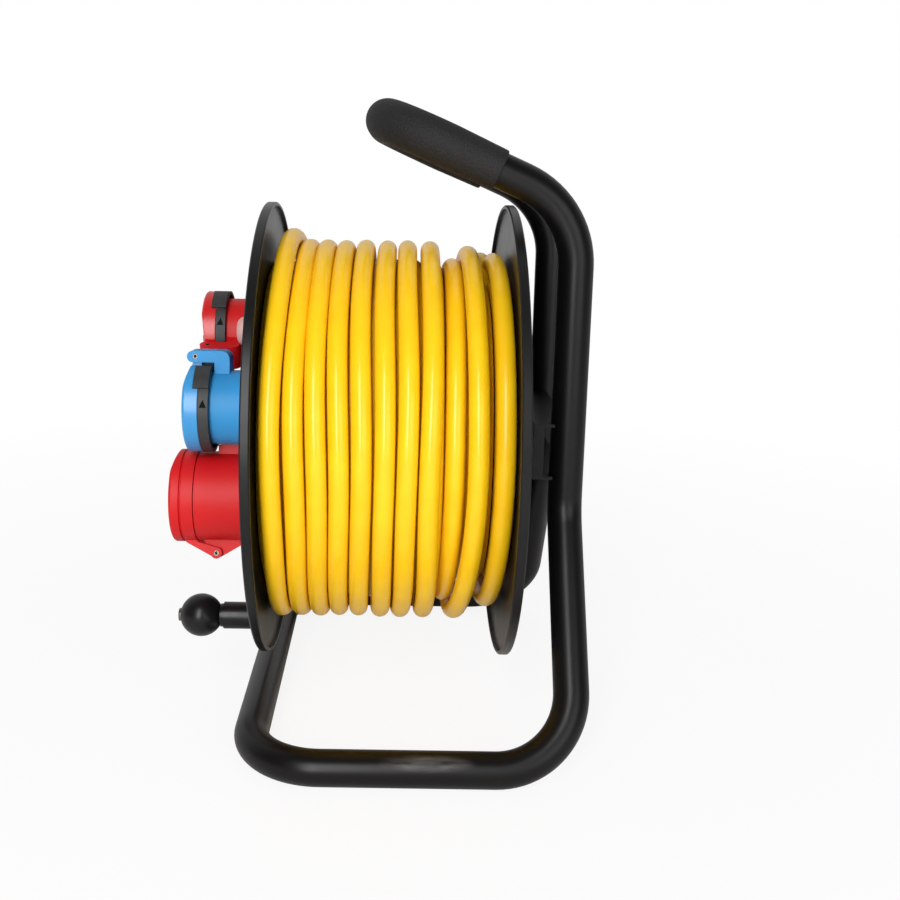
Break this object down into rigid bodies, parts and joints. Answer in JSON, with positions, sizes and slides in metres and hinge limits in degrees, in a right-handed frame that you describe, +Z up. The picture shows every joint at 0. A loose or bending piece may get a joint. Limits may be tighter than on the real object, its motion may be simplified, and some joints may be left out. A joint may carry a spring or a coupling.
{
  "type": "extension cord reel",
  "caption": "Carrying cable reel: a flanged drum of yellow cable with a crank knob and lidded industrial sockets, turning on a bent tube stand with a gripped handle.",
  "frame": {"origin": "on the floor under the middle of the reel's box, the cable and plug not counted", "axes": "+Z up; X along the drum's axle with the sockets and the crank knob at -X and the uprights at +X; +Y from the viewer of the picture to the far side"},
  "size_m": [0.265, 0.3905, 0.4045],
  "materials": {
    "frame_paint": "satin black paint on steel",
    "grip": "matt, finely textured",
    "drum_plastic": "satin moulded plastic",
    "steel": "zinc plated",
    "nylon": "natural nylon",
    "cable": "glossy polyurethane jacket",
    "red": "satin moulded polyamide",
    "blue": "satin moulded polyamide",
    "ring": "matt glass-filled plastic",
    "brass": "turned",
    "rubber": "soft black rubber",
    "cap": "soft translucent cap"
  },
  "bodies": {
    "stand": {"frame_tube": "frame_paint", "handle_grip": "grip", "axle_bracket": "frame_paint", "axle": "steel", "axle_washer": "steel", "axle_nut": "steel", "cable_tail": "cable", "plug_nut": "drum_plastic", "plug_body": "red", "plug_collar": "ring", "plug_pins": "brass"},
    "drum": {"drum_front": "drum_plastic", "drum_rear": "drum_plastic", "hub_bushes": "nylon", "drum_screws": "steel", "cable_gland": "drum_plastic", "terminal_block": "nylon", "cable_lead": "cable", "cable_winding": "cable", "far_red_housing": "red", "far_red_insert": "red", "far_red_contacts": "brass", "far_red_pin": "steel", "far_red_spring": "steel", "blue_housing": "blue", "blue_insert": "blue", "blue_contacts": "brass", "blue_pin": "steel", "blue_spring": "steel", "near_red_housing": "red", "near_red_insert": "red", "near_red_contacts": "brass", "near_red_pin": "steel", "near_red_spring": "steel", "socket_screws": "steel", "cutout_body": "drum_plastic", "crank_stem": "drum_plastic", "crank_screw": "steel"},
    "knob": {"crank_knob": "drum_plastic"},
    "reset": {"reset_button": "cap"},
    "far_red_lid": {"far_red_lid": "red", "far_red_seal": "rubber"},
    "far_red_ring": {"far_red_ring": "ring"},
    "blue_lid": {"blue_lid": "blue", "blue_seal": "rubber"},
    "blue_ring": {"blue_ring": "ring"},
    "near_red_lid": {"near_red_lid": "red", "near_red_seal": "rubber"}
  },
  "joints": [
    {"name": "drum_spin", "type": "hinge", "parent": "stand", "child": "drum", "pos_m": [0.0065, 0, 0.187], "axis": [1, 0, 0], "continuous": true},
    {"name": "far_red_lid_hinge", "type": "hinge", "parent": "drum", "child": "far_red_lid", "pos_m": [-0.1134, -0.01709, 0.23835], "axis": [0, -0.342, 0.9397], "range_deg": [0, 90], "stiffness_Nm_per_rad": 0.05},
    {"name": "far_red_ring_turn", "type": "hinge", "parent": "far_red_lid", "child": "far_red_ring", "pos_m": [-0.107, 0.01363, 0.24953], "axis": [1, 0, 0], "range_deg": [0, 22]},
    {"name": "blue_lid_hinge", "type": "hinge", "parent": "drum", "child": "blue_lid", "pos_m": [-0.1134, -0.05659, 0.24473], "axis": [0, 0.9976, -0.0698], "range_deg": [0, 90], "stiffness_Nm_per_rad": 0.05},
    {"name": "blue_ring_turn", "type": "hinge", "parent": "blue_lid", "child": "blue_ring", "pos_m": [-0.107, -0.05887, 0.21211], "axis": [1, 0, 0], "range_deg": [0, 22]},
    {"name": "near_red_lid_hinge", "type": "hinge", "parent": "drum", "child": "near_red_lid", "pos_m": [-0.102, -0.06151, 0.11682], "axis": [0, -0.9781, 0.2079], "range_deg": [0, 85], "stiffness_Nm_per_rad": 0.05},
    {"name": "knob_spin", "type": "hinge", "parent": "drum", "child": "knob", "pos_m": [-0.1173, -0.042, 0.06503], "axis": [1, 0, 0], "continuous": true},
    {"name": "reset_press", "type": "slide", "parent": "drum", "child": "reset", "axis": [1, 0, 0], "range_m": [0, 0.0025], "stiffness_N_per_m": 800}
  ]
}
